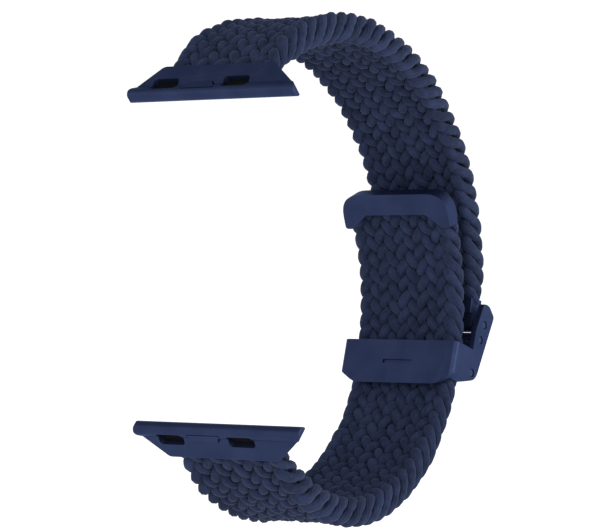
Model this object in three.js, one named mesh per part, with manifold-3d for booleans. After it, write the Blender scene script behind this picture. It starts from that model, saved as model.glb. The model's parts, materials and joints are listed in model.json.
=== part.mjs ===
// A braided watch band with two slide-in connectors and an adjustable lever clasp.
// Millimetres. The origin is midway between the two connectors' rails, +X points across the
// wrist to the clasp, +Y runs across the band's width and +Z points up.
import * as THREE from "three";
import { mergeVertices } from "three/addons/utils/BufferGeometryUtils.js";
import Module from "manifold-3d";

// Driving dimensions: the loop.
const CASE_GAP = 40; // between the rails' mating edges, the watch case's length
const STRAP_WIDTH = 15;
const STRAP_THICKNESS = 3.3;
const STRAP_EDGE_ROUND = 1.1;
const STRAP_START_HEADING = 43; // degrees from +Z towards +X, where the upper strap starts
const UPPER_ARCS = [[15, 23.5], [32, 56], [31.4, 62.5]]; // radius and degrees, lug to clasp
const TAIL_RADIUS = 30; // the part of the lower strap that slides through the clasp
const TAIL_DEGREES = 34.8; // above the clasp's middle
const TAIL_BELOW_DEGREES = 5;
const TAIL_END_ARC = [200, 1.8]; // the stiffened, nearly straight end in and below the cap
const BOTTOM_DEGREES = 88; // round the bottom
const CLOSING_DEGREES = 27.93; // from there up to the lower connector
const CLASP_TURN = 12; // degrees from the upper strap's end to the clasp
const LUG_STAGGER = 0.6; // the upper connector lies this far short of the middle, the lower past it
const STRAP_GAP = 0.5; // between the two straps beside the strap pin
const MOUTH_GAP = 0.5; // on the mid-line, so that the strap's corner clears the lug
const FERRULE_TURN = 4; // degrees from the upper strap's end to the ferrule
const ARC_STEP = 6; // degrees between the points of a strap's outline

// Driving dimensions: the connectors.
const LUG_LENGTH = 24.6; // along the rail
const LUG_DEPTH = 4.4; // from the rail's mating edge to the strap
const LUG_MOUTH_SIDE = 0.5; // past the strap's edge on each side
const LUG_MOUTH_WIDTH = STRAP_WIDTH + 2 * LUG_MOUTH_SIDE;
const LUG_MOUTH_LIP = 0.2; // how far the inner face stands past the strap's
const LUG_MOUTH_OUTER = STRAP_THICKNESS / 2; // from the mid-plane to the outer face at the strap
const LUG_MOUTH_INNER = STRAP_THICKNESS / 2 + LUG_MOUTH_LIP;
const RAIL_RADIUS = 0.95;
const NECK_OUTER = 0.7; // from the mid-plane to the outer face beside the rail
const LUG_TILT = 46; // degrees from +Z
const TONGUE_THICKNESS = 1;
const TONGUE_DEPTH = 1.2;
const TONGUE_SIDE = 0.8; // how much narrower than the strap on each side
const WINDOW_LENGTH = 3.8;
const WINDOW_HEIGHT = 1.7;
const WINDOW_ROUND = 0.5;
const WINDOW_SPACING = 10.5;
const WINDOW_SHIFT = 1.9; // the windows and the latch lie this far towards the back edge
const WINDOW_CENTRE = 1.75; // from the mating edge
const PAD_RECESS = 0.6;
const PAD_THICKNESS = 0.35;
const ANCHOR_RADIUS = 0.28;
const ANCHOR_OVERHANG = 0.5; // past the tongue's pocket at each end
const BUTTON_LENGTH = 4.8;
const BUTTON_HEIGHT = 1.1;
const BUTTON_CENTRE = 1.4; // from the mating edge
const BUTTON_TAPER = 0.6; // how much shorter its edge beside the strap is at each end
const BUTTON_DEPTH = 0.8;
const LEAF_THICKNESS = 0.12;
const LEAF_RISE = 0.3;

// Driving dimensions: the clasp.
const SHEET = 0.8;
const CHANNEL_CLEARANCE = 0.35;
const SIDE_CLEARANCE = 0.6; // between the strap's edge and a side plate
const BEND_RADIUS = 1;
const PLATE_HEIGHT = 6;
const PLATE_DROP = 4; // from the strap pin down to the inner plate's top
const PIN_RADIUS = 0.45;
const GUIDE_PIN_DROP = 7.1;
const HUB_RADIUS = 1; // of the ferrule's eyelet and of the lever
const HUB_DROP_GAP = 0.25; // between the two hubs' heights
const CAM_REACH = 1.5;
const CAM_CLEARANCE = 0.15; // between the cam's reach and the lower strap
const GUIDE_CLEARANCE = 0.2; // between the guide pin and the lower strap
const LEVER_THICKNESS = 1;
const LEVER_LENGTH = 5.2;
const EAR = { reach: 2.15, top: 2.85, width: 3.1, foot: [-0.35, -7.75] }; // from the strap pin
const FERRULE_HEIGHT = 2.06;
const FERRULE_WALL = 0.6;
const FERRULE_NECK = 0.5; // from the eyelet to the sleeve
const SLOT = [4.5, 0.5, 0.3]; // length, height and depth of the line pressed in the inner plate

// Driving dimensions: the tail's end cap.
const CAP_SIDE = 0.7; // past the strap's edge on each side
const CAP_WIDTH = STRAP_WIDTH + 2 * CAP_SIDE;
const CAP_HEIGHT = 2.9; // above the middle of its lower edge
const CAP_LEG = 1.9; // below it, at the sides
const CAP_LEG_INSET = 1.2; // a leg's width at its foot
const CAP_LEG_RUN = 2.4; // how far a leg's slanted edge runs in
const CAP_CORNER = 3;
const CAP_SHEET = 0.8;
const CAP_RIM = 0.6;
const CAP_DEPTH = 2.2; // of the inner shell's rim
const CAP_PROUD = 0.45; // in front of the braid's inner face
const CAP_LID_SHEET = 0.7;
const CAP_LID_INSET = 0.3; // inside the strap's edge on each side
const CAP_LID_WIDTH = STRAP_WIDTH - 2 * CAP_LID_INSET;
const CAP_LID_DROP = 0.7; // below the inner shell's top
const CAP_KEEP_OUT = 0.2; // between the shells and the braid
const CAP_SHOULDER = 0.9; // the braid's edge that is cut back beside the cap's corners
const RIVET_SPACING = 9.2;
const RIVET_AT = 0.9; // above the middle of the cap's lower edge
const RIVET_RADIUS = 0.5;
const RIVET_HEAD = 0.9;

const FIT = 0.1; // radial and side clearance of a pin, pad or button in its hole
const REST_GAP = 0.3; // between pieces that rest on each other
const ROUND_STEPS = 20;

// Materials.
const metal = new THREE.MeshStandardMaterial({ color: 0x2b3157, roughness: 0.42, metalness: 0.75 });
const pinMetal = new THREE.MeshStandardMaterial({ color: 0x3a4168, roughness: 0.35, metalness: 0.85 });
const braid = new THREE.MeshStandardMaterial({ color: 0x272f4d, roughness: 0.95, metalness: 0 });
const rubber = new THREE.MeshStandardMaterial({ color: 0x0b0c10, roughness: 0.8, metalness: 0 });
const spring = new THREE.MeshStandardMaterial({ color: 0x9a9ca0, roughness: 0.3, metalness: 0.9 });

// Solids: closed geometries joined and cut with manifold-3d.
const wasm = await Module();
wasm.setup();

function toSolid(geometry) {
  const bare = geometry.clone();
  bare.deleteAttribute("normal");
  bare.deleteAttribute("uv");
  const merged = mergeVertices(bare, 1e-4);
  const mesh = new wasm.Mesh({
    numProp: 3,
    vertProperties: merged.attributes.position.array,
    triVerts: new Uint32Array(merged.index.array),
  });
  return new wasm.Manifold(mesh);
}

function toGeometry(solid) {
  const mesh = solid.getMesh();
  const geometry = new THREE.BufferGeometry();
  geometry.setAttribute("position", new THREE.BufferAttribute(mesh.vertProperties, 3));
  geometry.setIndex(new THREE.BufferAttribute(mesh.triVerts, 1));
  geometry.computeVertexNormals();
  return geometry;
}

const join = (...parts) => toGeometry(parts.map(toSolid).reduce((a, b) => a.add(b)));
const common = (...parts) => toGeometry(parts.map(toSolid).reduce((a, b) => a.intersect(b)));

function cut(base, ...tools) {
  return toGeometry(tools.map(toSolid).reduce((a, b) => a.subtract(b), toSolid(base)));
}

// Basic shapes. A slab is an outline in a plane, extruded equally to both sides of it.
const X = new THREE.Vector3(1, 0, 0);
const Y = new THREE.Vector3(0, 1, 0);
const Z = new THREE.Vector3(0, 0, 1);
const PLANES = {
  XY: new THREE.Matrix4(),
  XZ: new THREE.Matrix4().makeBasis(X, Z, Y.clone().negate()),
  YZ: new THREE.Matrix4().makeBasis(Y, Z, X),
};

function slab(shape, plane, depth, round = 0) {
  const geometry = new THREE.ExtrudeGeometry(shape, {
    depth: depth - 2 * round,
    curveSegments: 8,
    bevelEnabled: round > 0,
    bevelThickness: round,
    bevelSize: round,
    bevelOffset: -round,
    bevelSegments: 3,
  });
  return geometry.translate(0, 0, round - depth / 2).applyMatrix4(PLANES[plane]);
}

function block([x0, x1], [y0, y1], [z0, z1]) {
  const box = new THREE.BoxGeometry(x1 - x0, y1 - y0, z1 - z0);
  return box.translate((x0 + x1) / 2, (y0 + y1) / 2, (z0 + z1) / 2);
}

// A rod along Y.
function rod(radius, length, x = 0, z = 0) {
  return new THREE.CylinderGeometry(radius, radius, length, ROUND_STEPS).translate(x, 0, z);
}

// A closed outline through corners [x, y, rounding].
function outline(corners) {
  const shape = new THREE.Shape();
  corners.forEach(([x, y, round = 0], i) => {
    const corner = new THREE.Vector2(x, y);
    const towards = ([px, py]) => new THREE.Vector2(px, py).sub(corner).setLength(round).add(corner);
    const enter = towards(corners.at(i - 1));
    const leave = towards(corners[(i + 1) % corners.length]);
    if (i === 0) shape.moveTo(enter.x, enter.y);
    else shape.lineTo(enter.x, enter.y);
    if (round > 0) shape.quadraticCurveTo(x, y, leave.x, leave.y);
  });
  return shape;
}

const mirrored = (corners) => [...corners, ...corners.map(([x, ...rest]) => [-x, ...rest]).reverse()];

// The loop's side view, in X and Z: runs of tangent arcs that all turn clockwise.
const rad = THREE.MathUtils.degToRad;
const along = (heading) => new THREE.Vector2(Math.sin(rad(heading)), Math.cos(rad(heading)));
const outwardOf = (heading) => new THREE.Vector2(-Math.cos(rad(heading)), Math.sin(rad(heading)));
const step = (point, heading, distance) => point.clone().addScaledVector(along(heading), distance);

function arcFrom(start, heading, radius, degrees) {
  const centre = start.clone().addScaledVector(outwardOf(heading), -radius);
  const to = heading + degrees;
  const end = centre.clone().addScaledVector(outwardOf(to), radius);
  return { centre, radius, from: heading, to, end };
}

function run(start, heading, arcs) {
  const made = [];
  for (const [radius, degrees] of arcs) {
    made.push(arcFrom(start, heading, radius, degrees));
    start = made.at(-1).end;
    heading = made.at(-1).to;
  }
  return made;
}

// The radii of two tangent arcs that turn by set degrees and reach a target.
function radiiTo(target, start, heading, first, second) {
  const unitArc = (from, degrees) => outwardOf(from + degrees).sub(outwardOf(from));
  const a = unitArc(heading, first);
  const b = unitArc(heading + first, second);
  const reach = target.clone().sub(start);
  return [reach.cross(b) / a.cross(b), a.cross(reach) / a.cross(b)];
}

// How many steps an arc takes: none is shorter than the rounding of the strap's edges.
function stepsOf({ radius, from, to }) {
  const shortest = rad(to - from) * (radius - STRAP_THICKNESS / 2);
  const room = Math.floor(shortest / STRAP_EDGE_ROUND);
  return Math.max(1, Math.min(Math.ceil((to - from) / ARC_STEP), room));
}

// The points of a run, offset to one side of its mid-line.
function edgePoints(arcs, offset) {
  const points = [];
  arcs.forEach((arc, i) => {
    const { centre, radius, from, to } = arc;
    const steps = stepsOf(arc);
    for (let k = i === 0 ? 0 : 1; k <= steps; k++) {
      const heading = from + ((to - from) * k) / steps;
      points.push(centre.clone().addScaledVector(outwardOf(heading), radius + offset));
    }
  });
  return points;
}

function bandOutline(arcs, thickness) {
  const outer = edgePoints(arcs, thickness / 2);
  const inner = edgePoints(arcs, -thickness / 2);
  return new THREE.Shape([...outer, ...inner.reverse()]);
}

const lugOrigin = {
  upper: new THREE.Vector2(-LUG_STAGGER, CASE_GAP / 2),
  lower: new THREE.Vector2(LUG_STAGGER, -CASE_GAP / 2),
};
const lugHeading = { upper: LUG_TILT, lower: 180 - LUG_TILT };
const mouth = (end) => step(lugOrigin[end], lugHeading[end], LUG_DEPTH);

const upperStart = step(mouth("upper"), STRAP_START_HEADING, MOUTH_GAP);
const upperArcs = run(upperStart, STRAP_START_HEADING, UPPER_ARCS);
const upperEnd = upperArcs.at(-1);
const ferruleLow = HUB_RADIUS + FERRULE_NECK;
const ferruleTop = ferruleLow + FERRULE_HEIGHT;
const ferruleReach = ferruleTop + 0.4; // from the textile's end to the strap pin
const ferruleHeading = upperEnd.to + FERRULE_TURN;
const strapPinAt = step(upperEnd.end, ferruleHeading, ferruleReach);
const claspHeading = upperEnd.to + CLASP_TURN; // down through the clasp
const straps = STRAP_THICKNESS + STRAP_GAP; // between the two straps' mid-lines
const plateMiddle = PLATE_DROP + PLATE_HEIGHT / 2;
const channel = step(strapPinAt, claspHeading, plateMiddle)
  .addScaledVector(outwardOf(claspHeading), -straps);

const [endRadius, endDegrees] = TAIL_END_ARC;
const tailTop = arcFrom(channel, claspHeading, TAIL_RADIUS, -TAIL_DEGREES);
const tailTip = arcFrom(tailTop.end, tailTop.to, endRadius, -endDegrees);
const endArc = arcFrom(tailTip.end, tailTip.to, endRadius, endDegrees);
const tailArc = arcFrom(endArc.end, endArc.to, TAIL_RADIUS, TAIL_DEGREES + TAIL_BELOW_DEGREES);
const lowerArrive = step(mouth("lower"), 180 - STRAP_START_HEADING, MOUTH_GAP);
const [bottomRadius, closingRadius] =
  radiiTo(lowerArrive, tailArc.end, tailArc.to, BOTTOM_DEGREES, CLOSING_DEGREES);
const bottomArc = arcFrom(tailArc.end, tailArc.to, bottomRadius, BOTTOM_DEGREES);
const closingArc = arcFrom(bottomArc.end, bottomArc.to, closingRadius, CLOSING_DEGREES);
const lowerArcs = [endArc, tailArc, bottomArc, closingArc];

// A group whose +Z lies along a heading and whose +X is to the right of it.
function frameAt(point, heading) {
  const group = new THREE.Group();
  group.position.set(point.x, 0, point.y);
  group.rotation.y = rad(heading);
  return group;
}

function lugFrame(end) {
  const group = frameAt(lugOrigin[end], lugHeading[end]);
  if (end === "lower") group.rotateZ(Math.PI);
  return group;
}

function placed(geometry, group) {
  group.updateMatrix();
  return geometry.clone().applyMatrix4(group.matrix);
}

function add(group, name, geometry, material) {
  const mesh = new THREE.Mesh(geometry, material);
  mesh.name = name;
  group.add(mesh);
}

// The connectors, in a frame with +Z from the rail to the strap and the outer side at -X.
const halfMouth = LUG_MOUTH_WIDTH / 2;
const tongueHalf = STRAP_WIDTH / 2 - TONGUE_SIDE;
const pocketHalf = tongueHalf + REST_GAP;
const pocketDepth = TONGUE_DEPTH + REST_GAP;
const anchorAt = LUG_DEPTH - TONGUE_DEPTH / 2;
const anchorHalf = pocketHalf + ANCHOR_OVERHANG;
// The lower connector is the same part turned over, so its shift is the other way in its frame.
const shiftOf = { upper: WINDOW_SHIFT, lower: -WINDOW_SHIFT };

function windowBlock(y, clearance, x0, x1) {
  const halfLength = WINDOW_LENGTH / 2 - clearance;
  const halfHeight = WINDOW_HEIGHT / 2 - clearance;
  const shape = outline(mirrored([
    [halfLength, WINDOW_CENTRE + halfHeight, WINDOW_ROUND],
    [halfLength, WINDOW_CENTRE - halfHeight, WINDOW_ROUND],
  ]));
  return slab(shape, "YZ", x1 - x0).translate((x0 + x1) / 2, y, 0);
}

function buttonBlock(y, clearance, x0, x1) {
  const halfLength = BUTTON_LENGTH / 2 + clearance;
  const halfHeight = BUTTON_HEIGHT / 2 + clearance;
  const shape = outline(mirrored([
    [halfLength - BUTTON_TAPER, BUTTON_CENTRE + halfHeight, BUTTON_TAPER / 2],
    [halfLength, BUTTON_CENTRE - halfHeight],
  ]));
  return slab(shape, "YZ", x1 - x0).translate((x0 + x1) / 2, y, 0);
}

const windowFloor = PAD_RECESS + PAD_THICKNESS + FIT - RAIL_RADIUS;
const buttonBack = BUTTON_DEPTH - RAIL_RADIUS;
const springSeat = buttonBack + 2 * FIT + LEAF_RISE + LEAF_THICKNESS;
const OUTSIDE = -3 * RAIL_RADIUS;

function lugBody(shift) {
  const rail = rod(RAIL_RADIUS, LUG_LENGTH, 0, RAIL_RADIUS);
  const wedge = outline([
    [-NECK_OUTER, 0.8 * RAIL_RADIUS],
    [-NECK_OUTER, 1.7 * RAIL_RADIUS],
    [-LUG_MOUTH_OUTER, LUG_DEPTH, 0.3],
    [LUG_MOUTH_INNER, LUG_DEPTH, 0.4],
    [RAIL_RADIUS - FIT, RAIL_RADIUS],
  ]);
  const plan = outline(mirrored([
    [LUG_LENGTH / 2, 0, 0.3],
    [LUG_LENGTH / 2, RAIL_RADIUS, 0.4],
    [halfMouth, LUG_DEPTH, 0.7],
  ]));
  const body = common(
    join(rail, slab(wedge, "XZ", LUG_LENGTH)),
    slab(plan, "YZ", 6 * RAIL_RADIUS),
  );
  const halfPocket = TONGUE_THICKNESS / 2 + REST_GAP;
  const pocketFrom = LUG_DEPTH - pocketDepth;
  return cut(
    body,
    block([-halfPocket, halfPocket], [-pocketHalf, pocketHalf], [pocketFrom, LUG_DEPTH + 1]),
    rod(ANCHOR_RADIUS + FIT, 2 * (anchorHalf + FIT), 0, anchorAt),
    windowBlock(shift - WINDOW_SPACING / 2, 0, OUTSIDE, windowFloor),
    windowBlock(shift + WINDOW_SPACING / 2, 0, OUTSIDE, windowFloor),
    buttonBlock(shift, FIT, OUTSIDE, springSeat),
  );
}

// A bowed strip that pushes the latch button outwards.
function leafSpring() {
  const half = BUTTON_LENGTH / 2 - 2 * BUTTON_TAPER;
  const low = springSeat - FIT;
  const top = low - LEAF_RISE;
  const shape = new THREE.Shape();
  shape.moveTo(half, low);
  shape.quadraticCurveTo(0, 2 * top - low, -half, low);
  shape.lineTo(-half, low - LEAF_THICKNESS);
  shape.quadraticCurveTo(0, 2 * top - low - LEAF_THICKNESS, half, low - LEAF_THICKNESS);
  const turn = new THREE.Matrix4().makeBasis(Y, X, Z.clone().negate());
  const strip = slab(shape, "XY", BUTTON_HEIGHT - 4 * FIT).applyMatrix4(turn);
  return strip.translate(0, 0, BUTTON_CENTRE);
}

function connector(end) {
  const group = lugFrame(end);
  const shift = shiftOf[end];
  const front = end === "upper" ? -1 : 1; // which way the front edge lies in the group's frame
  add(group, `${end}_lug_body`, lugBody(shift), metal);
  for (const [name, side] of [["front", front], ["back", -front]]) {
    const y = shift + (side * WINDOW_SPACING) / 2;
    const pad = windowBlock(y, FIT, PAD_RECESS - RAIL_RADIUS, windowFloor - FIT);
    add(group, `${end}_lug_pad_${name}`, pad, rubber);
  }
  add(group, `${end}_latch_button`, buttonBlock(shift, 0, -RAIL_RADIUS, buttonBack), metal);
  add(group, `${end}_latch_spring`, leafSpring().translate(0, shift, 0), spring);
  add(group, `${end}_anchor_pin`, rod(ANCHOR_RADIUS, 2 * anchorHalf, 0, anchorAt), spring);
  return group;
}

// The strap's sewn end inside a connector, with the anchor pin's eye.
function lugTongue(end) {
  const shape = outline([
    [-TONGUE_THICKNESS / 2, LUG_DEPTH - TONGUE_DEPTH],
    [-TONGUE_THICKNESS / 2, LUG_DEPTH + 2 * MOUTH_GAP],
    [TONGUE_THICKNESS / 2, LUG_DEPTH + 2 * MOUTH_GAP],
    [TONGUE_THICKNESS / 2, LUG_DEPTH - TONGUE_DEPTH],
  ]);
  const eye = rod(ANCHOR_RADIUS + FIT / 2, STRAP_WIDTH, 0, anchorAt);
  const tongue = cut(slab(shape, "XZ", 2 * tongueHalf), eye);
  return placed(tongue, lugFrame(end));
}

// The ferrule that joins the upper strap to the strap pin, in the pin's frame.
const ferrulePlace = frameAt(strapPinAt, ferruleHeading - 180);
const crimpHalf = TONGUE_THICKNESS / 2 + REST_GAP;

function ferrule() {
  const half = crimpHalf + FERRULE_WALL;
  const width = STRAP_WIDTH - 0.4;
  const sleeve = block([-half, half], [-width / 2, width / 2], [ferruleLow, ferruleTop]);
  const neck = block([-HUB_RADIUS, HUB_RADIUS], [-width / 2, width / 2], [0, ferruleLow + 0.2]);
  const eyelet = rod(HUB_RADIUS, width);
  const pocketSide = tongueHalf + REST_GAP;
  return cut(
    join(sleeve, neck, eyelet),
    block([-crimpHalf, crimpHalf], [-pocketSide, pocketSide], [ferruleLow + FERRULE_WALL, 9]),
    rod(PIN_RADIUS + FIT, STRAP_WIDTH + 1),
  );
}

function ferruleTongue() {
  const from = ferruleLow + FERRULE_WALL + REST_GAP;
  const half = TONGUE_THICKNESS / 2;
  const tongue = block([-half, half], [-tongueHalf, tongueHalf], [from, ferruleReach + 1]);
  return placed(tongue, ferrulePlace);
}

// The clasp, in a frame at the strap pin with +Z up along the lower strap and +X outwards.
const claspPlace = frameAt(strapPinAt, claspHeading - 180);
const sideInner = STRAP_WIDTH / 2 + SIDE_CLEARANCE;
const sideOuter = sideInner + SHEET;
const channelBack = -(straps + STRAP_THICKNESS / 2 + CHANNEL_CLEARANCE);
const plateBack = channelBack - SHEET;
const plateTop = -PLATE_DROP;
const plateBottom = plateTop - PLATE_HEIGHT;
const strapFace = STRAP_THICKNESS / 2 - straps; // the lower strap's outer face
const guidePin = [strapFace + GUIDE_CLEARANCE + PIN_RADIUS, -GUIDE_PIN_DROP];
const leverPin = [strapFace + CAM_CLEARANCE + CAM_REACH, -(2 * HUB_RADIUS + HUB_DROP_GAP)];

function claspFrame() {
  const side = outline([
    [plateBack, plateBottom],
    [EAR.foot[0], EAR.foot[1], 1.1],
    [EAR.reach, 1.7, 0.5],
    [EAR.reach - 1.7, EAR.top, 0.6],
    [EAR.reach - EAR.width, EAR.top - 0.1, 0.4],
    [-2.05, -1.1, 0.8],
    [-2.15, plateTop, 0.2],
    [plateBack, plateTop],
  ]);
  const wrap = outline([
    [plateBack, -sideOuter, BEND_RADIUS],
    [EAR.reach + 1, -sideOuter],
    [EAR.reach + 1, sideOuter],
    [plateBack, sideOuter, BEND_RADIUS],
  ]);
  const front = outline(mirrored([
    [sideOuter, EAR.top + 1],
    [sideOuter, plateBottom + 1.6, 0.5],
    [sideOuter - 2.4, plateBottom, 0.8],
  ]));
  const shell = common(
    slab(side, "XZ", 2 * sideOuter),
    slab(wrap, "XY", 30),
    slab(front, "YZ", 30),
  );
  const middle = (plateTop + plateBottom) / 2;
  const [slotLength, slotHeight, slotDepth] = SLOT;
  const holes = [[0, 0], leverPin, guidePin];
  return cut(
    shell,
    block([channelBack, EAR.reach + 2], [-sideInner, sideInner], [plateBottom - 1, EAR.top + 1]),
    block(
      [plateBack - 1, plateBack + slotDepth],
      [-slotLength / 2, slotLength / 2],
      [middle - slotHeight / 2, middle + slotHeight / 2],
    ),
    ...holes.map(([x, z]) => rod(PIN_RADIUS + FIT, 2 * sideOuter + 2, x, z)),
  );
}

// The lever: a hub on its pin, a cam nose that bears on the braid and a finger plate.
function camLever() {
  const [px, pz] = leverPin;
  const width = 2 * (sideInner - REST_GAP);
  const inside = guidePin[0] + PIN_RADIUS + REST_GAP;
  const plate = outline([
    [px - 0.3, pz + 0.3],
    [px + 0.6, pz + 0.45, 0.3],
    [inside + LEVER_THICKNESS + 0.45, pz - 1.6, 0.6],
    [inside + LEVER_THICKNESS, pz - LEVER_LENGTH + 0.6, 0.6],
    [inside + LEVER_THICKNESS + 0.3, pz - LEVER_LENGTH, 0.3],
    [inside + 0.2, pz - LEVER_LENGTH - 0.2, 0.3],
    [inside, pz - LEVER_LENGTH + 0.8, 0.6],
    [inside, pz - 2, 0.4],
  ]);
  const nose = outline([
    [px, pz + HUB_RADIUS],
    [px - CAM_REACH, pz - 0.1, 0.5],
    [px - 0.2, pz - HUB_RADIUS],
  ]);
  const hub = rod(HUB_RADIUS, width, px, pz);
  const body = join(hub, slab(plate, "XZ", width), slab(nose, "XZ", width));
  return cut(body, rod(PIN_RADIUS + FIT, width + 2, px, pz));
}

function clasp() {
  const pinLength = 2 * (sideOuter - FIT);
  add(claspPlace, "clasp_frame", claspFrame(), metal);
  add(claspPlace, "cam_lever", camLever(), metal);
  add(claspPlace, "strap_pin", rod(PIN_RADIUS, pinLength), pinMetal);
  add(claspPlace, "lever_pin", rod(PIN_RADIUS, pinLength, ...leverPin), pinMetal);
  add(claspPlace, "guide_pin", rod(PIN_RADIUS, pinLength, ...guidePin), pinMetal);
  return claspPlace;
}

// The end cap, in a frame on the tail with +Z towards its tip and +X outwards.
const capPlace = frameAt(step(tailTip.end, tailTip.to, CAP_HEIGHT), tailTip.to - 180);
const capBack = -(STRAP_THICKNESS / 2 + CAP_PROUD);
const capFront = capBack + CAP_SHEET;
const lidBack = -capFront;
const lidFront = lidBack + CAP_LID_SHEET;

function capOutline(halfWidth, top, grow = 0) {
  const inner = halfWidth - CAP_LEG_INSET;
  return outline(mirrored([
    [halfWidth + grow, top + grow, CAP_CORNER],
    [halfWidth + grow, -CAP_LEG - grow, 0.5],
    [inner, -CAP_LEG - grow, 0.3],
    [inner - CAP_LEG_RUN, -grow, 0.2],
  ]));
}

function capInner() {
  const half = CAP_WIDTH / 2;
  const depth = 2 * CAP_DEPTH;
  const tray = slab(capOutline(half, CAP_HEIGHT), "YZ", depth);
  const keep = block([-CAP_DEPTH, 0], [-half, half], [-2 * CAP_HEIGHT, 2 * CAP_HEIGHT]);
  const shell = common(tray, keep).translate(capBack + CAP_DEPTH, 0, 0);
  const wall = half - CAP_RIM;
  const hollow = outline(mirrored([
    [wall, CAP_HEIGHT - CAP_RIM, CAP_CORNER - CAP_RIM],
    [wall, -CAP_LEG - 1],
  ]));
  return cut(shell, slab(hollow, "YZ", 2 * CAP_DEPTH).translate(capFront + CAP_DEPTH, 0, 0));
}

function capOuter() {
  const outlineOfLid = capOutline(CAP_LID_WIDTH / 2, CAP_HEIGHT - CAP_LID_DROP);
  const lid = slab(outlineOfLid, "YZ", CAP_LID_SHEET);
  const placedLid = lid.translate((lidBack + lidFront) / 2, 0, 0);
  return cut(placedLid, rivetBore(-1), rivetBore(1));
}

function acrossX(geometry, y, z) {
  return geometry.rotateZ(-Math.PI / 2).translate(0, y, z);
}

function rivetBore(side) {
  const radius = RIVET_RADIUS + FIT;
  const bore = new THREE.CylinderGeometry(radius, radius, 12, ROUND_STEPS);
  return acrossX(bore, (side * RIVET_SPACING) / 2, RIVET_AT);
}

function rivet(side) {
  const headTop = lidFront + FIT + 0.3;
  const foot = capFront + FIT;
  const profile = [[0, foot], [RIVET_RADIUS, foot], [RIVET_RADIUS, lidFront + FIT]];
  profile.push([RIVET_HEAD, lidFront + FIT], [RIVET_HEAD * 0.6, headTop], [0, headTop]);
  const points = profile.map(([r, h]) => new THREE.Vector2(r, h));
  const lathe = new THREE.LatheGeometry(points, ROUND_STEPS);
  return acrossX(lathe, (side * RIVET_SPACING) / 2, RIVET_AT);
}

function tailCap() {
  add(capPlace, "tail_cap_inner", capInner(), metal);
  add(capPlace, "tail_cap_outer", capOuter(), metal);
  add(capPlace, "tail_cap_rivet_front", rivet(-1), pinMetal);
  add(capPlace, "tail_cap_rivet_back", rivet(1), pinMetal);
  return capPlace;
}

// The space the cap's two shells and rivets need in the braid.
function capKeepOut() {
  const reach = 6;
  const inner = slab(capOutline(CAP_WIDTH / 2, CAP_HEIGHT, CAP_KEEP_OUT), "YZ", reach);
  const outer = slab(capOutline(CAP_LID_WIDTH / 2, CAP_HEIGHT, CAP_KEEP_OUT), "YZ", reach);
  const topSpace = [CAP_HEIGHT / 2, 2 * CAP_HEIGHT];
  const above = block([-reach, reach], [-CAP_WIDTH, CAP_WIDTH], topSpace);
  const shoulderAcross = [STRAP_WIDTH / 2 - CAP_SHOULDER, STRAP_WIDTH];
  const shoulder = block([-reach, reach], shoulderAcross, [REST_GAP, 2 * CAP_HEIGHT]);
  return [
    shoulder,
    shoulder.clone().rotateZ(Math.PI),
    inner.translate(capFront + CAP_KEEP_OUT - reach / 2, 0, 0),
    outer.translate(lidBack - CAP_KEEP_OUT + reach / 2, 0, 0),
    above,
    rivetBore(-1),
    rivetBore(1),
  ].map((tool) => placed(tool, capPlace));
}

// The straps: plain closed bands with rounded edges.
function band(arcs) {
  return slab(bandOutline(arcs, STRAP_THICKNESS), "XZ", STRAP_WIDTH, STRAP_EDGE_ROUND);
}

function upperStrap() {
  return join(band(upperArcs), lugTongue("upper"), ferruleTongue());
}

function lowerStrap() {
  return join(cut(band(lowerArcs), ...capKeepOut()), lugTongue("lower"));
}

const watchBand = new THREE.Group();
add(watchBand, "upper_strap", upperStrap(), braid);
add(watchBand, "lower_strap", lowerStrap(), braid);
watchBand.add(connector("upper"), connector("lower"), clasp(), tailCap());
add(ferrulePlace, "upper_ferrule", ferrule(), metal);
watchBand.add(ferrulePlace);

export default watchBand;
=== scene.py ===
# A braided watch band over a plain pale floor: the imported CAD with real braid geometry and
# procedural materials, in the CAD's frame. The braid's sizes are in millimetres, and MM turns
# them into Blender's metres.
import json
import math

import bpy
import numpy as np
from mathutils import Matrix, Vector


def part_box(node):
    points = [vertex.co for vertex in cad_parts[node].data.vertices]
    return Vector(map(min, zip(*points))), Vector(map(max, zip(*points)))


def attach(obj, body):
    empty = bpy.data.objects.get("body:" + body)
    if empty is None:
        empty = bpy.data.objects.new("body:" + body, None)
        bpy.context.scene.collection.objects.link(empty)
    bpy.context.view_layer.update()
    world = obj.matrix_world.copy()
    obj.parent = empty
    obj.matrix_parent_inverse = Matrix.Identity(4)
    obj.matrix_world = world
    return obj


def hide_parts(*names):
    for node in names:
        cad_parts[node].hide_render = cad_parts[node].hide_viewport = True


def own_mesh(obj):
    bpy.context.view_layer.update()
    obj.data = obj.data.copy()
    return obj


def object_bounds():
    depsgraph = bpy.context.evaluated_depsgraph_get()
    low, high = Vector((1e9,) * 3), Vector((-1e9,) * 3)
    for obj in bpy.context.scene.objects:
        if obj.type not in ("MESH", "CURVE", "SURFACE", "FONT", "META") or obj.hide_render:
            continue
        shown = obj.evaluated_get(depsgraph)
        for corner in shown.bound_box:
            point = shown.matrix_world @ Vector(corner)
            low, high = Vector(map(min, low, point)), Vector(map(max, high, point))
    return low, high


MM = 0.001
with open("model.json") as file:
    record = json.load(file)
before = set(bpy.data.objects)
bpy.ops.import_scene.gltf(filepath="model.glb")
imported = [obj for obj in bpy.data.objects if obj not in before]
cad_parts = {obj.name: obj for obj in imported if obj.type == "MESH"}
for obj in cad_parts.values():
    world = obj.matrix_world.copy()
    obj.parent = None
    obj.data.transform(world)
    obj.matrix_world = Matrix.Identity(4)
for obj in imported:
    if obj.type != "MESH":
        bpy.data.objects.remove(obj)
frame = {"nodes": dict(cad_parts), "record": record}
cad_low, cad_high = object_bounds()
record = frame["record"]

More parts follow.
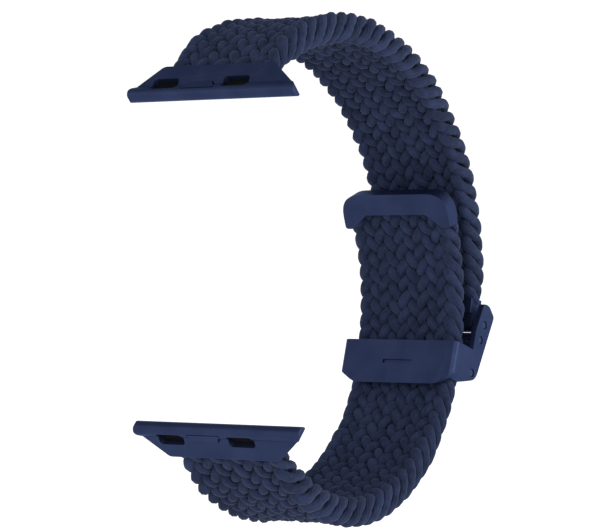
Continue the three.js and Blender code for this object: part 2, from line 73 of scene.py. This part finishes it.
# The braid: a flat two-over, two-under plait of an odd number of strands.
STRANDS = 21
COLUMN = 0.75  # mm between neighbouring crossings across the strap
PITCH = 2.27  # mm along the strap between two neighbouring strands' turns
STRAND_WIDTH = 1.4  # mm
STRAND_HEIGHT = 1.25
WEAVE_RISE = 1.0  # mm from the mid-plane to the top of a strand's path
EDGE_RISE = 0.5  # how much thicker the rope-like edges are, as a share of the rise
EDGE_REACH = 1.7  # mm from the turn over which the edge is thicker
TURN_ROUND = 0.62  # mm, the rounding of a strand's turn
HALF_WIDTH = 7.6  # mm from the middle to the outermost column
SQUEEZE_FROM = 5.0  # mm from the middle: the outer columns close up beyond this
CLASP_SQUEEZE = 0.24  # how much flatter the lower strap is where it can run through the clasp
CLASP_STRETCH = (4.0, 38.0)  # mm from the tail's tip: that stretch, for the whole slide
CLASP_EASE = 4.0  # mm over which it flattens at either end
TURN_FADE = 2.0  # mm from the turn over which its rounding fades
WAVE_SHAPE = 0.8  # below 1, a strand stays longer at the top and the bottom of its path
EDGE_SWELL = 0.12  # how much thicker a strand is at the edge
STIFFNESS = 0.35  # the share of a strand's own height that flattening leaves alone
RINGS_PER_STEP = 7
RING_SIDES = 9

# How irregular the braid is: along, across and up in mm, and in thickness as a share.
DRIFT_ALONG = 0.07
DRIFT_ACROSS = 0.05
DRIFT_UP = 0.05
DRIFT_SWELL = 0.05
DRIFT_SPACING = 1.3  # mm between the knots of a drift
SEED = 11

# Where the braid gets flatter or narrower: by what share, and over how many mm.
FLATTER_AT_LUG = (0.4, 6.0)
FLATTER_AT_FERRULE = (0.45, 2.5)
FLATTER_AT_CAP = (0.3, 2.5)
NARROWER_AT_FERRULE = (0.02, 4.0)
NARROWER_AT_CAP = (0.06, 5.0)
CAP_END = 1.5  # mm from the tail's tip: up to here the cap clamps the braid fully
TUCKED_IN = 0.9  # mm that a strap's end runs on inside its connector or ferrule
TAIL_START = 1.1  # mm from the tail's tip, where its braid starts inside the cap

# The flat inner tape, near-black: painted shade in the gaps between the strands.
TAPE_STEPS = 90
TAPE_HALF_WIDTH = 6.4
TAPE_HALF_HEIGHT = 0.25
TAPE_INSET = 0.2  # mm short of the strands at each end

# The mid-lines of the two straps in X and Z, in mm: start, heading in degrees from +Z towards
# +X, and the arcs' radii and degrees, as in the CAD.
UPPER_LINE = ((2.906, 23.422), 43.0, ((15.0, 23.5), (32.0, 56.0), (31.4, 62.5)))
LOWER_LINE = ((43.818, 9.770), 160.4, ((200.0, 1.8), (30.0, 39.8), (24.25, 88.0), (25.48, 27.93)))
REACH_PAST_LINE = (1.3, 2.0)  # mm that a CAD strap reaches past its mid-line in X


# ---------------------------------------------------------------- mid-lines
def outward(heading):
    """The outward direction, in X and Z, beside a path with this heading."""
    return np.stack([-np.cos(heading), np.sin(heading)], -1)


class MidLine:
    """A chain of tangent arcs that all turn clockwise, by distance along it in mm."""

    def __init__(self, start, heading, arcs):
        point, turn = np.array(start), math.radians(heading)
        self.arcs, travelled = [], 0.0
        for radius, degrees in arcs:
            sweep = math.radians(degrees)
            centre = point - outward(turn) * radius
            self.arcs.append((travelled, centre, radius, turn))
            travelled += radius * sweep
            turn += sweep
            point = centre + outward(turn) * radius
        self.length = travelled

    def at(self, s):
        """Points and headings at the distances s, which may run past either end."""
        points = np.zeros((len(s), 2))
        headings = np.zeros(len(s))
        starts = [a[0] for a in self.arcs]
        which = np.clip(np.searchsorted(starts, s, side="right") - 1, 0, len(starts) - 1)
        for i, (begin, centre, radius, turn) in enumerate(self.arcs):
            mine = which == i
            headings[mine] = turn + (s[mine] - begin) / radius
            points[mine] = centre + outward(headings[mine]) * radius
        return points, headings


def check_line(line, node):
    """Stops the script if a mid-line has left its CAD strap."""
    points, _ = line.at(np.linspace(0, line.length, 200))
    _, high_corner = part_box(node)
    reach = high_corner.x / MM - max(points[:, 0])
    least, most = REACH_PAST_LINE
    if not least < reach < most:
        raise RuntimeError(f"{node} and its mid-line are apart: {reach:.2f} mm")


# ---------------------------------------------------------------- braid geometry
def smooth(t):
    t = np.clip(t, 0, 1)
    return t * t * (3 - 2 * t)


def squeeze(reach):
    """Closes up the outer columns so that the last one lies at HALF_WIDTH."""
    span = STRANDS * COLUMN / 2 - SQUEEZE_FROM
    t = (reach - SQUEEZE_FROM) / span
    room = HALF_WIDTH - SQUEEZE_FROM
    return SQUEEZE_FROM + span * t - (span - room) * t * t


def strand_path(v, index):
    """Across (mm), height (-1 to 1) and distance from the nearer turn, for one strand."""
    steps = (v - index * PITCH) / (PITCH / 2)
    leg = np.floor(steps / STRANDS)
    u = steps - leg * STRANDS
    from_turn = np.minimum(u, STRANDS - u) * COLUMN
    rounding = TURN_ROUND * np.exp(-from_turn / TURN_FADE)
    reach = STRANDS * COLUMN / 2 - np.sqrt(from_turn**2 + rounding**2)
    reach = np.where(reach > SQUEEZE_FROM, squeeze(reach), reach)
    side = np.where(u < STRANDS / 2, -1.0, 1.0) * np.where(leg % 2 == 0, 1.0, -1.0)
    across = side * reach
    # A full wave takes four steps: two over, two under. A leg's first and last steps go half as fast.
    phase = np.where(
        u < 1,
        u * math.pi / 4,
        np.where(
            u <= STRANDS - 1,
            math.pi / 4 + (u - 1) * math.pi / 2,
            math.pi / 4 + (STRANDS - 2) * math.pi / 2 + (u - STRANDS + 1) * math.pi / 4,
        ),
    )
    wave = np.sin(phase)
    height = np.sign(wave) * np.abs(wave) ** WAVE_SHAPE
    return across, height, from_turn


def drift(v, rng, size):
    """A slow random wander along a strand, in mm or as a share."""
    knots = rng.normal(0, size, int((v[-1] - v[0]) / DRIFT_SPACING) + 4)
    return np.interp(v, np.linspace(v[0], v[-1], len(knots)), knots)


def braid(name, line, begin, end, width_at, height_at):
    """All the strands of one strap between two distances along its mid-line."""
    count = int((end - begin) / (PITCH / 2) * RINGS_PER_STEP)
    v = np.linspace(begin, end, count)
    points, headings = line.at(v)
    normal = outward(headings)
    angles = np.linspace(0, 2 * math.pi, RING_SIDES, endpoint=False)
    rng = np.random.default_rng(SEED)
    caps = []
    verts, faces, around, length, tone = [], [], [], [], []
    for index in range(STRANDS):
        across, height, from_turn = strand_path(v + drift(v, rng, DRIFT_ALONG), index)
        edge = np.exp(-((from_turn / EDGE_REACH) ** 2))
        across = across * width_at(v) + drift(v, rng, DRIFT_ACROSS) * (1 - edge)
        rise = height * WEAVE_RISE * (1 + EDGE_RISE * edge) * height_at(v) + drift(v, rng, DRIFT_UP)
        path = np.stack(
            [points[:, 0] + normal[:, 0] * rise, across, points[:, 1] + normal[:, 1] * rise], -1
        )
        tangent = np.gradient(path, axis=0)
        tangent /= np.linalg.norm(tangent, axis=1)[:, None]
        up = np.stack([normal[:, 0], np.zeros(count), normal[:, 1]], -1)
        side = np.cross(up, tangent)
        side /= np.linalg.norm(side, axis=1)[:, None]
        up = np.cross(tangent, side)
        swell = (1 + EDGE_SWELL * edge) * (1 + drift(v, rng, DRIFT_SWELL))
        half_w = STRAND_WIDTH / 2 * swell
        half_h = STRAND_HEIGHT / 2 * swell * (STIFFNESS + (1 - STIFFNESS) * height_at(v))
        ring = (
            path[:, None, :]
            + side[:, None, :] * (np.cos(angles)[None, :, None] * half_w[:, None, None])
            + up[:, None, :] * (np.sin(angles)[None, :, None] * half_h[:, None, None])
        )
        base = sum(len(x) for x in verts)
        verts.append(ring.reshape(-1, 3))
        travelled = np.concatenate([[0], np.cumsum(np.linalg.norm(np.diff(path, axis=0), axis=1))])
        around.append(np.tile(angles / (2 * math.pi), count))
        length.append(np.repeat(travelled, RING_SIDES))
        tone.append(np.full(count * RING_SIDES, rng.random()))
        k, j = np.meshgrid(np.arange(count - 1), np.arange(RING_SIDES), indexing="ij")
        j2 = (j + 1) % RING_SIDES
        this_ring = base + k * RING_SIDES
        next_ring = this_ring + RING_SIDES
        quads = np.stack([this_ring + j, this_ring + j2, next_ring + j2, next_ring + j], -1)
        faces.append(quads.reshape(-1, 4))
        first = base + np.arange(RING_SIDES)
        caps.append(first[::-1].tolist())
        caps.append((first + (count - 1) * RING_SIDES).tolist())
    mesh = bpy.data.meshes.new(name)
    all_faces = np.concatenate(faces).tolist() + caps
    mesh.from_pydata((np.concatenate(verts) * MM).tolist(), [], all_faces)
    for label, values in (("around", around), ("length", length), ("tone", tone)):
        layer = mesh.attributes.new(label, "FLOAT", "POINT")
        layer.data.foreach_set("value", np.concatenate(values).astype(np.float32))
    mesh.shade_smooth()
    obj = bpy.data.objects.new(name, mesh)
    bpy.context.scene.collection.objects.link(obj)
    return obj


def core(name, line, begin, end, half_width, half_height):
    """The flat inner tape that closes the gaps between the strands; its near-black colour is painted
    shade seen through them.
    """
    v = np.linspace(begin, end, TAPE_STEPS)
    points, headings = line.at(v)
    normal = outward(headings)
    corners = [
        (-half_width, -half_height),
        (half_width, -half_height),
        (half_width, half_height),
        (-half_width, half_height),
    ]
    verts = []
    for p, n in zip(points, normal):
        for y, h in corners:
            verts.append(((p[0] + n[0] * h) * MM, y * MM, (p[1] + n[1] * h) * MM))
    faces = [(3, 2, 1, 0), tuple(4 * (len(v) - 1) + i for i in range(4))]
    for k in range(len(v) - 1):
        for j in range(4):
            faces.append((4 * k + j, 4 * k + (j + 1) % 4, 4 * k + 4 + (j + 1) % 4, 4 * k + 4 + j))
    mesh = bpy.data.meshes.new(name)
    mesh.from_pydata(verts, [], faces)
    obj = bpy.data.objects.new(name, mesh)
    bpy.context.scene.collection.objects.link(obj)
    return obj


# ---------------------------------------------------------------- materials
def new_material(name):
    material = bpy.data.materials.new(name)
    material.use_nodes = True
    nodes, links = material.node_tree.nodes, material.node_tree.links
    return material, nodes, links, nodes["Principled BSDF"]


def math_node(nodes, links, kind, *values):
    node = nodes.new("ShaderNodeMath")
    node.operation = kind
    for socket, value in zip(node.inputs, values):
        if isinstance(value, (int, float)):
            socket.default_value = value
        else:
            links.new(value, socket)
    return node.outputs[0]


def attribute(nodes, name):
    node = nodes.new("ShaderNodeAttribute")
    node.attribute_name = name
    return node.outputs["Fac"]


def noise(nodes, links, scale, detail=2.0, vector=None):
    node = nodes.new("ShaderNodeTexNoise")
    node.inputs["Scale"].default_value = scale
    node.inputs["Detail"].default_value = detail
    if vector is None:
        vector = nodes.new("ShaderNodeTexCoord").outputs["Object"]
    links.new(vector, node.inputs["Vector"])
    return node.outputs["Fac"]


def ramp(nodes, links, fac, stops):
    node = nodes.new("ShaderNodeValToRGB")
    while len(node.color_ramp.elements) < len(stops):
        node.color_ramp.elements.new(0.5)
    for element, (at, colour) in zip(node.color_ramp.elements, stops):
        element.position = at
        element.color = (*colour, 1)
    links.new(fac, node.inputs["Fac"])
    return node.outputs["Color"]


def bump(nodes, links, height, distance, normal=None, strength=1.0):
    node = nodes.new("ShaderNodeBump")
    node.inputs["Distance"].default_value = distance
    node.inputs["Strength"].default_value = strength
    links.new(height, node.inputs["Height"])
    if normal is not None:
        links.new(normal, node.inputs["Normal"])
    return node.outputs["Normal"]


FILAMENTS = 9.0  # round a strand
FILAMENT_TWIST = 0.9  # turns per mm along it
FILAMENT_DEPTH = 0.03  # mm
FUZZ_DEPTH = 0.05  # mm
GRAIN_DEPTH = 0.012  # mm, on the anodised metal
SPOT_DEPTH = 0.02  # mm, on the plain materials
STRAND_TONES = 0.25  # how far the strands differ in tone, as a share of the ramp
SMOOTHEST = 0.05  # how far the metal's roughness falls below its own value in the grain
ROUGHEST = 0.07  # and how far it rises above it


def yarn_material():
    """Soft navy yarn: twisted filaments, slightly fuzzy, with a little tone variation."""
    material, nodes, links, shader = new_material("navy_yarn")
    turns = math_node(nodes, links, "MULTIPLY", attribute(nodes, "around"), FILAMENTS)
    twist = math_node(nodes, links, "MULTIPLY", attribute(nodes, "length"), FILAMENT_TWIST)
    round_trips = math_node(nodes, links, "ADD", turns, twist)
    angle = math_node(nodes, links, "MULTIPLY", round_trips, 2 * math.pi)
    filament = math_node(nodes, links, "SINE", angle)
    fuzz = noise(nodes, links, 9000, 3.0)
    mottle = noise(nodes, links, 900, 3.0)
    tone = math_node(nodes, links, "MULTIPLY_ADD", attribute(nodes, "tone"), STRAND_TONES, mottle)
    tones = [(0.30, (0.0062, 0.0102, 0.0255)), (0.85, (0.0155, 0.0235, 0.058))]
    colour = ramp(nodes, links, tone, tones)
    links.new(colour, shader.inputs["Base Color"])
    coarse = bump(nodes, links, filament, FILAMENT_DEPTH * MM, strength=0.6)
    fuzzy = bump(nodes, links, fuzz, FUZZ_DEPTH * MM, coarse, 0.5)
    links.new(fuzzy, shader.inputs["Normal"])
    shader.inputs["Roughness"].default_value = 0.88
    shader.inputs["Specular IOR Level"].default_value = 0.12
    shader.inputs["Sheen Weight"].default_value = 0.08
    shader.inputs["Sheen Roughness"].default_value = 0.5
    shader.inputs["Sheen Tint"].default_value = (0.35, 0.42, 0.7, 1)
    return material


def metal_material(name, colour_low, colour_high, roughness):
    """Satin anodised metal with a fine blasted grain."""
    material, nodes, links, shader = new_material(name)
    cloud = noise(nodes, links, 260, 3.0)
    grain = noise(nodes, links, 14000, 2.0)
    colour = ramp(nodes, links, cloud, [(0.35, colour_low), (0.65, colour_high)])
    links.new(colour, shader.inputs["Base Color"])
    rough = nodes.new("ShaderNodeMapRange")
    rough.inputs["To Min"].default_value = roughness - SMOOTHEST
    rough.inputs["To Max"].default_value = roughness + ROUGHEST
    links.new(grain, rough.inputs["Value"])
    links.new(rough.outputs["Result"], shader.inputs["Roughness"])
    grainy = bump(nodes, links, grain, GRAIN_DEPTH * MM, strength=0.35)
    links.new(grainy, shader.inputs["Normal"])
    shader.inputs["Metallic"].default_value = 0.85
    shader.inputs["Specular IOR Level"].default_value = 0.15
    shader.inputs["Specular Tint"].default_value = (0.55, 0.64, 0.9, 1)
    return material


def plain_material(name, low, high, roughness, scale, metallic=0.0):
    """A faintly mottled surface: bare steel, and the near-black inner tape and window pads, which are
    painted shade.
    """
    material, nodes, links, shader = new_material(name)
    spots = noise(nodes, links, scale, 3.0)
    links.new(ramp(nodes, links, spots, [(0.35, low), (0.7, high)]), shader.inputs["Base Color"])
    spotty = bump(nodes, links, spots, SPOT_DEPTH * MM, strength=0.4)
    links.new(spotty, shader.inputs["Normal"])
    shader.inputs["Roughness"].default_value = roughness
    shader.inputs["Specular IOR Level"].default_value = 0.1
    shader.inputs["Metallic"].default_value = metallic
    return material


yarn = yarn_material()
# The inner tape's near-black colour is painted shade between the strands.
gap_shade_cloth = plain_material("painted_gap_shade", (0.004, 0.006, 0.012), (0.008, 0.011, 0.022), 0.95, 3000)
navy = metal_material("navy_anodised", (0.018, 0.026, 0.064), (0.023, 0.032, 0.076), 0.45)
pin_metal = metal_material("navy_pin_metal", (0.030, 0.040, 0.085), (0.042, 0.053, 0.105), 0.34)
# The connectors' window pads: recessed, so real shade falls on them, and near-black as painted shade
# of the windows' insides.
window_pad_painted_shade = plain_material(
    "window_pad_painted_shade", (0.0008, 0.0008, 0.001), (0.002, 0.002, 0.0025), 0.9, 2500
)
steel = plain_material("bare_steel", (0.40, 0.40, 0.42), (0.50, 0.50, 0.52), 0.3, 1800, 1.0)
BY_SLOT = {
    "navy_metal": navy,
    "navy_pin": pin_metal,
    "navy_braid": yarn,
    "black_pad": window_pad_painted_shade,
    "bare_steel": steel,
}


# ---------------------------------------------------------------- CAD nodes that stay
WELD_REACH = 1e-6  # m
BEVEL_ANGLE = 28  # degrees: sharper edges than this are rounded


def dress(obj, material, bevel):
    """Welds a CAD node's faces, softens its edges and gives it a material."""
    obj.data.materials.clear()
    obj.data.materials.append(material)
    weld = obj.modifiers.new("weld", "WELD")
    weld.merge_threshold = WELD_REACH
    edge = obj.modifiers.new("bevel", "BEVEL")
    edge.width = bevel * MM
    edge.segments = 3
    edge.limit_method = "ANGLE"
    edge.angle_limit = math.radians(BEVEL_ANGLE)
    edge.miter_outer = "MITER_ARC"
    for polygon in obj.data.polygons:
        polygon.use_smooth = True
    smooth_normals = obj.modifiers.new("normals", "WEIGHTED_NORMAL")
    smooth_normals.keep_sharp = True


BEVELS = {  # mm
    "upper_lug_body": 0.12,
    "lower_lug_body": 0.12,
    "upper_latch_button": 0.15,
    "lower_latch_button": 0.15,
    "clasp_frame": 0.12,
    "cam_lever": 0.12,
    "tail_cap_inner": 0.15,
    "tail_cap_outer": 0.12,
    "upper_ferrule": 0.1,
}
SMALL_BEVEL = 0.04
SPRING_BEVEL = 0.02
slots = {row["node"]: row["material_slot"] for row in record["subparts"]}
for node, obj in frame["nodes"].items():
    dress(obj, BY_SLOT[slots[node]], BEVELS.get(node, SMALL_BEVEL))


def leaf_spring(end):
    """A latch's bowed spring: a steel copy of the CAD node with its own mesh, on its band. On the
    real latch it flattens against its seat as the button is pressed.
    """
    node = frame["nodes"][f"{end}_latch_spring"]
    leaf = bpy.data.objects.new(f"{end}_leaf_spring", node.data.copy())
    bpy.context.scene.collection.objects.link(leaf)
    dress(leaf, steel, SPRING_BEVEL)
    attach(leaf, f"{end}_band")
    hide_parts(f"{end}_latch_spring")
    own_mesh(leaf)


for end in ("upper", "lower"):
    leaf_spring(end)

# ---------------------------------------------------------------- the two straps
upper_line = MidLine(*UPPER_LINE)
lower_line = MidLine(*LOWER_LINE)
check_line(upper_line, "upper_strap")
check_line(lower_line, "lower_strap")


def less_before(v, start, change):
    """Less by a share at start, and back to the whole some mm after it."""
    share, reach = change
    return 1 - share * smooth(1 - (v - start) / reach)


def less_after(v, finish, change):
    """The whole until some mm before finish, and less by a share there."""
    share, reach = change
    return 1 - share * smooth((v - finish + reach) / reach)


def upper_width(v):
    return less_after(v, upper_line.length, NARROWER_AT_FERRULE)


def upper_height(v):
    into_lug = less_before(v, 0, FLATTER_AT_LUG)
    return into_lug * less_after(v, upper_line.length, FLATTER_AT_FERRULE)


def lower_width(v):
    return less_before(v, CAP_END, NARROWER_AT_CAP)


def lower_height(v):
    """Flatter at its ends, and all along the stretch that can slide through the clasp."""
    first, last = CLASP_STRETCH
    in_stretch = smooth((v - first) / CLASP_EASE) * smooth((last - v) / CLASP_EASE)
    through_clasp = 1 - CLASP_SQUEEZE * in_stretch
    under_cap = less_before(v, CAP_END, FLATTER_AT_CAP)
    into_lug = less_after(v, lower_line.length, FLATTER_AT_LUG)
    return under_cap * into_lug * through_clasp


STRAPS = {
    "upper": (upper_line, -TUCKED_IN, upper_line.length + TUCKED_IN, upper_width, upper_height),
    "lower": (lower_line, TAIL_START, lower_line.length + TUCKED_IN, lower_width, lower_height),
}
for end, (line, begin, finish, width_at, height_at) in STRAPS.items():
    strands = braid(f"{end}_braid", line, begin, finish, width_at, height_at)
    strands.data.materials.append(yarn)
    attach(strands, f"{end}_band")
    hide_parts(f"{end}_strap")
    tape_ends = (begin + TAPE_INSET, finish - TAPE_INSET)
    tape = core(f"{end}_braid_gap_shade", line, *tape_ends, TAPE_HALF_WIDTH, TAPE_HALF_HEIGHT)
    # The tape's near-black cloth is painted shade in the gaps between the strands.
    tape.data.materials.append(gap_shade_cloth)
    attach(tape, f"{end}_band")


# ---------------------------------------------------------------- floor, lights, camera
def plane(name, corners):
    mesh = bpy.data.meshes.new(name)
    mesh.from_pydata(corners, [], [(0, 1, 2, 3)])
    obj = bpy.data.objects.new(name, mesh)
    bpy.context.scene.collection.objects.link(obj)
    return obj


FLOOR_DROP = 30.0  # mm below the band, so that an opened clasp swings clear of the floor
floor_z = cad_low.z - FLOOR_DROP * MM
FLOOR_REACH = 6.0  # m
floor = plane(
    "floor",
    [(-FLOOR_REACH, -FLOOR_REACH, floor_z), (FLOOR_REACH, -FLOOR_REACH, floor_z),
     (FLOOR_REACH, FLOOR_REACH, floor_z), (-FLOOR_REACH, FLOOR_REACH, floor_z)],
)
floor_paint, _, _, floor_shader = new_material("floor_paint")
floor_shader.inputs["Base Color"].default_value = (0.85, 0.85, 0.85, 1)
floor_shader.inputs["Emission Color"].default_value = (1, 1, 1, 1)
floor_shader.inputs["Emission Strength"].default_value = 0.6
floor_shader.inputs["Roughness"].default_value = 0.9
floor_shader.inputs["Specular IOR Level"].default_value = 0.0
floor.data.materials.append(floor_paint)

world = bpy.data.worlds.new("studio")
world.use_nodes = True
sky_nodes, sky_links = world.node_tree.nodes, world.node_tree.links
sky_up = sky_nodes.new("ShaderNodeSeparateXYZ")
sky_links.new(sky_nodes.new("ShaderNodeTexCoord").outputs["Generated"], sky_up.inputs[0])
SKY_TONES = [(0.25, (1, 1, 1)), (0.9, (0.35, 0.36, 0.38))]  # white at the sides, grey overhead
sky = ramp(sky_nodes, sky_links, sky_up.outputs["Z"], SKY_TONES)
sky_links.new(sky, sky_nodes["Background"].inputs["Color"])
sky_nodes["Background"].inputs["Strength"].default_value = 1.1
bpy.context.scene.world = world


def area_light(name, place, target, size, power):
    light = bpy.data.lights.new(name, "AREA")
    light.size = size
    light.energy = power
    obj = bpy.data.objects.new(name, light)
    obj.location = place
    obj.rotation_euler = (Vector(target) - Vector(place)).to_track_quat("-Z", "Y").to_euler()
    bpy.context.scene.collection.objects.link(obj)


LIGHTS = (  # name, place from the band's middle in m, size in m, power in W
    ("key", (-0.34, -0.24, 0.12), 0.22, 0.75),
    ("strip", (-0.40, 0.26, 0.10), 0.2, 0.15),
    ("side", (0.10, -0.42, 0.06), 0.25, 1.0),
)
centre = (cad_low + cad_high) / 2
for light_name, place, size, power in LIGHTS:
    area_light(light_name, centre + Vector(place), centre, size, power)

CAMERA_PLACE = (-271.7 * MM, -190.6 * MM, -0.5 * MM)
CAMERA_HEADING = math.radians(57)  # from +Y towards +X
CAMERA_LENS = 163.8
CAMERA_SHIFT = -10 / 600  # of the image's width
camera = bpy.data.cameras.new("camera")
camera.sensor_width = 36
camera.lens = CAMERA_LENS
camera.shift_x = CAMERA_SHIFT
camera.clip_start = 0.01
camera.clip_end = 50
camera_object = bpy.data.objects.new("camera", camera)
camera_object.location = CAMERA_PLACE
look = Vector((math.sin(CAMERA_HEADING), math.cos(CAMERA_HEADING), 0))
camera_object.rotation_euler = look.to_track_quat("-Z", "Y").to_euler()
bpy.context.scene.collection.objects.link(camera_object)
bpy.context.scene.camera = camera_object
bpy.context.scene.view_settings.view_transform = "Standard"
